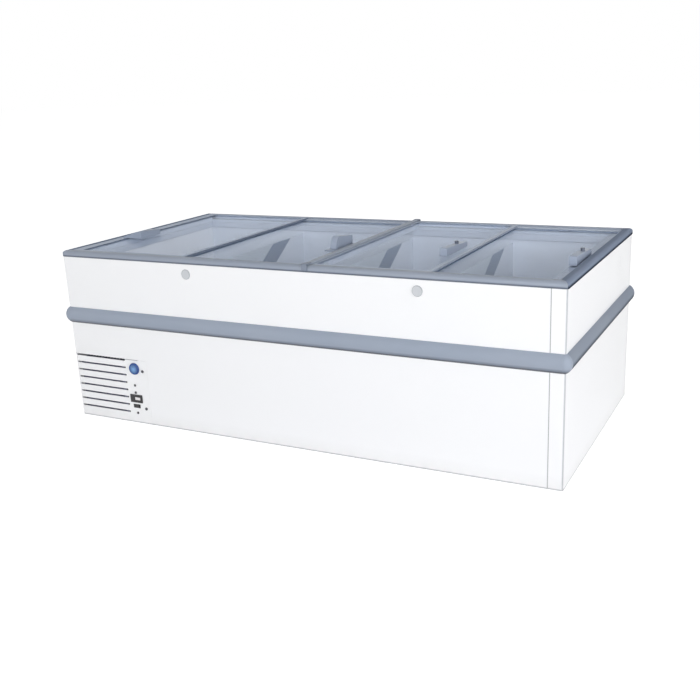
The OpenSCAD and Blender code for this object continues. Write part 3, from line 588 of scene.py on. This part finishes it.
def paneGlass(look):
    # float glass with faint wipe marks; lamps shine through it
    mat = bpy.data.materials.new("lidGlass")
    mat.use_nodes = True
    tree = mat.node_tree
    surface = tree.nodes["Principled BSDF"]
    surface.inputs["Base Color"].default_value = look["color"]
    surface.inputs["Transmission Weight"].default_value = 1.0
    surface.inputs["IOR"].default_value = look["ior"]
    skin = addEffect(tree, "mouldedGrain", look["marks"])
    join(tree, skin.outputs["Roughness"], surface.inputs["Roughness"])
    clear = put(tree, "ShaderNodeBsdfTransparent", in_Color=look["tint"])
    path = put(tree, "ShaderNodeLightPath").outputs
    blocked = calc(tree, path["Is Shadow Ray"], path["Is Diffuse Ray"], "MAXIMUM")
    mix = put(tree, "ShaderNodeMixShader")
    join(tree, spread(tree, blocked, (0, 1), (look["share"], 0.0)), mix.inputs["Fac"])
    join(tree, clear.outputs[0], mix.inputs[1])
    join(tree, surface.outputs[0], mix.inputs[2])
    join(tree, mix.outputs[0], tree.nodes["Material Output"].inputs["Surface"])
    return mat


finishes["lid_glass"] = paneGlass(paneLook)

for name, ob in nodes.items():
    for place in ob.material_slots:
        place.material = finishOf(name)
print("finishes:", len(finishes) + len(nodeFinishes))


# softened copies of the hard-edged solids
softLook = dict(weld=0.00002, flatAngle=0.6, sharpAngle=40)  # m and degrees


def mergedMesh(node):
    # a clean copy of a node's triangles, with flat areas joined into single faces
    bm = bmesh.new()
    bm.from_mesh(nodes[node].data)
    bmesh.ops.remove_doubles(bm, verts=bm.verts[:], dist=softLook["weld"])
    bmesh.ops.dissolve_limit(bm, angle_limit=math.radians(softLook["flatAngle"]), verts=bm.verts[:],
                             edges=bm.edges[:])
    bmesh.ops.recalc_face_normals(bm, faces=bm.faces[:])
    bm.verts.index_update()
    points = [v.co.copy() for v in bm.verts]
    faces = [[v.index for v in f.verts] for f in bm.faces]
    bm.free()
    mesh = bpy.data.meshes.new(node + "Soft")
    mesh.from_pydata(points, [], faces)
    mesh.update()
    return mesh


def plainObject(name, mesh):
    ob = bpy.data.objects.new(name, mesh)
    scene.collection.objects.link(ob)
    return ob


def bake(ob):
    # the evaluated mesh becomes the object's own mesh, and its modifiers go
    depsgraph = bpy.context.evaluated_depsgraph_get()
    mesh = bpy.data.meshes.new_from_object(ob.evaluated_get(depsgraph))
    old = ob.data
    ob.modifiers.clear()
    ob.data = mesh
    bpy.data.meshes.remove(old)
    mesh.name = ob.name
    return ob


def ridden(ob, body, replaced=None):
    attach(ob, body)
    if replaced:
        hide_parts(replaced)
    return ob


def markEdges(mesh):
    # the bevel's faces have the second material; they get an edge value of 1 in its place
    layer = mesh.attributes.new("edge", "FLOAT", "FACE")
    layer.data.foreach_set("value", [float(p.material_index) for p in mesh.polygons])
    mesh.polygons.foreach_set("material_index", [0] * len(mesh.polygons))
    mesh.materials.pop(index=1)


def soften(node, width, segments):
    ob = plainObject(node + "_soft", mergedMesh(node))
    for _ in range(2):
        ob.data.materials.append(finishOf(node))
    ob.data.shade_smooth()
    rounding = ob.modifiers.new("rounding", "BEVEL")
    rounding.width = width
    rounding.segments = segments
    rounding.limit_method = "ANGLE"
    rounding.angle_limit = math.radians(softLook["sharpAngle"])
    rounding.use_clamp_overlap = True
    rounding.harden_normals = True
    rounding.material = 1
    bake(ob)
    markEdges(ob.data)
    ridden(ob, nodes[node]["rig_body"], node)


softEdges = {  # node: rounding in mm, segments
    "centre_bar": (1.5, 3), "bar_end_caps": (2.0, 3), "breaker_collar": (1.5, 3), "bumper_corners": (0.3, 2),
    "plug_caps": (0.8, 3), "display_unit": (0.8, 3), "display_lens": (0.4, 2), "switch_bezel": (0.6, 3),
    "switch_rocker": (0.6, 3), "lid_3_lock": (0.6, 3), "lid_4_lock": (0.6, 3),
    "cable_gland": (0.8, 2), "control_box": (0.8, 2), "thermostat_knob": (1.6, 3),
}
for side in ("front", "rear", "left", "right"):
    softEdges["rim_" + side] = (1.2, 3)
    softEdges["bumper_" + side] = (0.3, 2)
for n in (1, 2, 3, 4):
    softEdges["lid_%d_frame" % n] = (1.0, 3)
    softEdges["lid_%d_handle" % n] = (1.4, 3)
for node, (width, segments) in softEdges.items():
    soften(node, width / 1000, segments)
print("softened:", len(softEdges))


# what repeats, by Geometry Nodes
vectorKind = "NodeSocketVector"
intKind = "NodeSocketInt"
geometryKind = "NodeSocketGeometry"
materialKind = "NodeSocketMaterial"


def newTree(name, inputs):
    # every tree takes points and a finish besides its own inputs
    tree = bpy.data.node_groups.new(name, "GeometryNodeTree")
    keys = {}
    for label, kind, value in [("Points", geometryKind, None)] + inputs + [("Finish", materialKind, None)]:
        socket = tree.interface.new_socket(label, in_out="INPUT", socket_type=kind)
        if value is not None:
            socket.default_value = value
        keys[label] = socket.identifier
    tree.interface.new_socket("Geometry", in_out="OUTPUT", socket_type=geometryKind)
    return tree, tree.nodes.new("NodeGroupInput").outputs, tree.nodes.new("NodeGroupOutput").inputs, keys


def realized(tree, geometry, given, out):
    # every tree ends the same way: real geometry, then its material
    real = put(tree, "GeometryNodeRealizeInstances")
    join(tree, geometry, real.inputs["Geometry"])
    coat = put(tree, "GeometryNodeSetMaterial")
    join(tree, real.outputs["Geometry"], coat.inputs["Geometry"])
    join(tree, given["Finish"], coat.inputs["Material"])
    join(tree, coat.outputs["Geometry"], out["Geometry"])


def placed(tree, points, shape):
    spots = put(tree, "GeometryNodeInstanceOnPoints")
    join(tree, points, spots.inputs["Points"])
    join(tree, shape, spots.inputs["Instance"])
    return spots


def grown(name, points, tree, keys, values):
    # an object whose mesh is what the tree makes of the given points
    mesh = bpy.data.meshes.new(name)
    mesh.from_pydata(points, [], [])
    ob = plainObject(name, mesh)
    maker = ob.modifiers.new("maker", "NODES")
    maker.node_group = tree
    for label, value in values.items():
        maker[keys[label]] = value
    return bake(ob)


def crossScrewTree():
    # a round head with a cross recess on each point of the mesh, facing the way it is turned
    tree, given, out, keys = newTree("crossScrews", [
        ("Head Radius", floatKind, 0.006), ("Head Height", floatKind, 0.0026),
        ("Recess Length", floatKind, 0.0075), ("Recess Width", floatKind, 0.0016),
        ("Recess Depth", floatKind, 0.0012), ("Turn", vectorKind, (math.pi / 2, 0, 0))])
    head = put(tree, "GeometryNodeMeshCylinder", in_Vertices=28)
    join(tree, given["Head Radius"], head.inputs["Radius"])
    join(tree, given["Head Height"], head.inputs["Depth"])
    cut = put(tree, "GeometryNodeMeshBoolean", operation="DIFFERENCE")
    join(tree, head.outputs["Mesh"], cut.inputs["Mesh 1"])
    top = calc(tree, given["Head Height"], 0.5)
    deep = calc(tree, given["Recess Depth"], 2.0)
    for along, across in (("Recess Length", "Recess Width"), ("Recess Width", "Recess Length")):
        bar = put(tree, "GeometryNodeMeshCube")
        join(tree, pack(tree, given[along], given[across], deep), bar.inputs["Size"])
        move = put(tree, "GeometryNodeTransform")
        join(tree, bar.outputs["Mesh"], move.inputs["Geometry"])
        join(tree, pack(tree, z=top), move.inputs["Translation"])
        join(tree, move.outputs["Geometry"], cut.inputs["Mesh 2"])
    spots = placed(tree, given["Points"], cut.outputs["Mesh"])
    turn = put(tree, "FunctionNodeEulerToRotation")
    join(tree, given["Turn"], turn.inputs[0])
    join(tree, turn.outputs[0], spots.inputs["Rotation"])
    realized(tree, spots.outputs["Instances"], given, out)
    return tree, keys


def ribRingTree():
    # upright ribs round an axis along Y
    tree, given, out, keys = newTree("ribRing", [
        ("Count", intKind, 24), ("Ring Radius", floatKind, 0.025),
        ("Rib Size", vectorKind, (0.002, 0.0015, 0.01)), ("Place", vectorKind, (0, 0, 0))])
    ring = put(tree, "GeometryNodeMeshCircle")
    join(tree, given["Count"], ring.inputs["Vertices"])
    join(tree, given["Ring Radius"], ring.inputs["Radius"])
    rib = put(tree, "GeometryNodeMeshCube")
    join(tree, given["Rib Size"], rib.inputs["Size"])
    spots = placed(tree, ring.outputs["Mesh"], rib.outputs["Mesh"])
    aim = put(tree, "FunctionNodeAlignRotationToVector", axis="X")
    join(tree, put(tree, "GeometryNodeInputPosition").outputs[0], aim.inputs["Vector"])
    join(tree, aim.outputs["Rotation"], spots.inputs["Rotation"])
    move = put(tree, "GeometryNodeTransform", in_Rotation=(math.pi / 2, 0, 0))
    join(tree, spots.outputs["Instances"], move.inputs["Geometry"])
    join(tree, given["Place"], move.inputs["Translation"])
    realized(tree, move.outputs["Geometry"], given, out)
    return tree, keys


def finPackTree():
    # thin plates in a row
    tree, given, out, keys = newTree("finPack", [
        ("Count", intKind, 10), ("Pitch", vectorKind, (0.004, 0, 0)), ("Start", vectorKind, (0, 0, 0)),
        ("Fin Size", vectorKind, (0.0004, 0.04, 0.2))])
    row = put(tree, "GeometryNodeMeshLine", mode="OFFSET")
    join(tree, given["Count"], row.inputs["Count"])
    join(tree, given["Start"], row.inputs["Start Location"])
    join(tree, given["Pitch"], row.inputs["Offset"])
    fin = put(tree, "GeometryNodeMeshCube")
    join(tree, given["Fin Size"], fin.inputs["Size"])
    spots = placed(tree, row.outputs["Mesh"], fin.outputs["Mesh"])
    realized(tree, spots.outputs["Instances"], given, out)
    return tree, keys


screwLook = dict(head=0.006, height=0.0026, frontY=-0.5113, coverX=-0.682, coverZ=(0.082, 0.242),
                 rearY=0.5113, rearX=(-1.018, 1.018), rearZ=(0.06, 0.22, 0.37, 0.56, 0.66))
coverPoints = [(screwLook["coverX"], screwLook["frontY"], z) for z in screwLook["coverZ"]]
rearPoints = [(x, screwLook["rearY"], z) for x in screwLook["rearX"] for z in screwLook["rearZ"]]
screwSets = [  # name, points, turn, node replaced
    ("coverScrewHeads", coverPoints, math.pi / 2, "cover_screws"),
    ("rearScrewHeads", rearPoints, -math.pi / 2, None),
]
screwTree, screwKeys = crossScrewTree()
for name, points, turn, replaced in screwSets:
    heads = grown(name, points, screwTree, screwKeys, {
        "Head Radius": screwLook["head"], "Head Height": screwLook["height"], "Turn": (turn, 0, 0),
        "Finish": nodeFinishes["cover_screws"]})
    ridden(heads, nodes["cover_screws"]["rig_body"], replaced)

dialLook = dict(ribs=36, ring=0.0246, rib=(0.0008, 0.0012, 0.0026), ribY=-0.5118)
ribTree, ribKeys = ribRingTree()
ribs = grown("dialRibs", [(0, 0, 0)], ribTree, ribKeys, {
    "Count": dialLook["ribs"], "Ring Radius": dialLook["ring"], "Rib Size": dialLook["rib"],
    "Place": (dialAxis.x, dialLook["ribY"], dialAxis.z), "Finish": finishes["dial_blue"]})
ridden(ribs, nodes["thermostat_knob"]["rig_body"])

# the condenser's own plates stand a pitch apart, and thinner fins fill the room between them
finLook = dict(plates=14, finsEach=4, pitch=0.0158, size=(0.0004, 0.046, 0.236), left=-1.0175, y=-0.467,
               z=0.1395)
finCount = finLook["plates"] * finLook["finsEach"]
finStep = finLook["pitch"] / finLook["finsEach"]
finTree, finKeys = finPackTree()
fins = grown("condenserFins", [(0, 0, 0)], finTree, finKeys, {
    "Count": finCount, "Pitch": (finStep, 0, 0), "Fin Size": finLook["size"],
    "Start": (finLook["left"] + finStep / 2, finLook["y"], finLook["z"]), "Finish": finishes["fin_metal"]})
ridden(fins, nodes["condenser"]["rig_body"])
print("grown: screws", len(coverPoints) + len(rearPoints), "ribs", dialLook["ribs"], "fins", finCount)


# studio
white = (1, 1, 1, 1)
studio = dict(floorHalf=40.0, floorCuts=8, drop=0.0004, floorColor=(0.74, 0.74, 0.74, 1),
              glow=0.83, glowColor=(0.6, 0.6, 0.6, 1),  # what the camera sees of the floor
              sky=(0.62, 0.2), skyTop=0.8)              # light from the horizon and from overhead


def mixByRays(tree, forOthers, forCamera):
    mix = put(tree, "ShaderNodeMixShader")
    join(tree, lightRays(tree), mix.inputs["Fac"])
    join(tree, forOthers.outputs[0], mix.inputs[1])
    join(tree, forCamera.outputs[0], mix.inputs[2])
    return mix.outputs[0]


def makeFloor(s):
    bm = bmesh.new()
    bmesh.ops.create_grid(bm, x_segments=s["floorCuts"], y_segments=s["floorCuts"], size=s["floorHalf"])
    mesh = bpy.data.meshes.new("studioFloor")
    bm.to_mesh(mesh)
    bm.free()
    mesh.transform(Matrix.Translation((0, 0, -s["drop"])))
    ob = plainObject("studioFloor", mesh)
    mat = bpy.data.materials.new("studioFloor")
    mat.use_nodes = True
    tree = mat.node_tree
    tree.nodes.remove(tree.nodes["Principled BSDF"])
    bounce = put(tree, "ShaderNodeBsdfDiffuse", in_Color=s["floorColor"])
    shade = put(tree, "ShaderNodeBsdfDiffuse", in_Color=s["glowColor"])
    glow = put(tree, "ShaderNodeEmission", in_Color=white, in_Strength=s["glow"])
    lit = put(tree, "ShaderNodeAddShader")
    join(tree, shade.outputs[0], lit.inputs[0])
    join(tree, glow.outputs[0], lit.inputs[1])
    join(tree, mixByRays(tree, bounce, lit), tree.nodes["Material Output"].inputs["Surface"])
    mesh.materials.append(mat)


def makeWorld(s):
    world = bpy.data.worlds.new("studioWorld")
    world.use_nodes = True
    tree = world.node_tree
    tree.nodes.clear()
    height = split(tree, put(tree, "ShaderNodeTexCoord").outputs["Generated"])[2]
    soft = put(tree, "ShaderNodeBackground", in_Color=white)
    join(tree, spread(tree, height, (0.0, s["skyTop"]), s["sky"]), soft.inputs["Strength"])
    backdrop = put(tree, "ShaderNodeBackground", in_Color=white, in_Strength=1.0)
    out = put(tree, "ShaderNodeOutputWorld")
    join(tree, mixByRays(tree, soft, backdrop), out.inputs["Surface"])
    scene.world = world


lamps = [  # name, place, aim, size in m, watts, seen in reflections
    ("keySoftbox", (2.6, -6.0, 2.2), (0.2, 0.0, 0.4), 3.6, 190, True),
    ("sideSoftbox", (6.2, -2.2, 1.6), (1.0, 0.0, 0.4), 3.0, 138, True),
    ("fillSoftbox", (-4.2, -4.6, 2.4), (-0.4, 0.0, 0.4), 3.6, 60, True),
    ("rearSoftbox", (-0.5, 4.6, 5.0), (0.0, 0.0, 0.6), 3.6, 50, False),
]


def addLamp(name, place, aim, size, watts, mirrored):
    data = bpy.data.lights.new(name, "AREA")
    data.shape = "SQUARE"
    data.size = size
    data.energy = watts
    ob = bpy.data.objects.new(name, data)
    scene.collection.objects.link(ob)
    ob.location = place
    ob.rotation_euler = (Vector(aim) - Vector(place)).to_track_quat("-Z", "Y").to_euler()
    ob.visible_camera = False
    ob.visible_glossy = mirrored


makeFloor(studio)
makeWorld(studio)
for lamp in lamps:
    addLamp(*lamp)
scene.view_settings.view_transform = "Standard"
print("studio set")
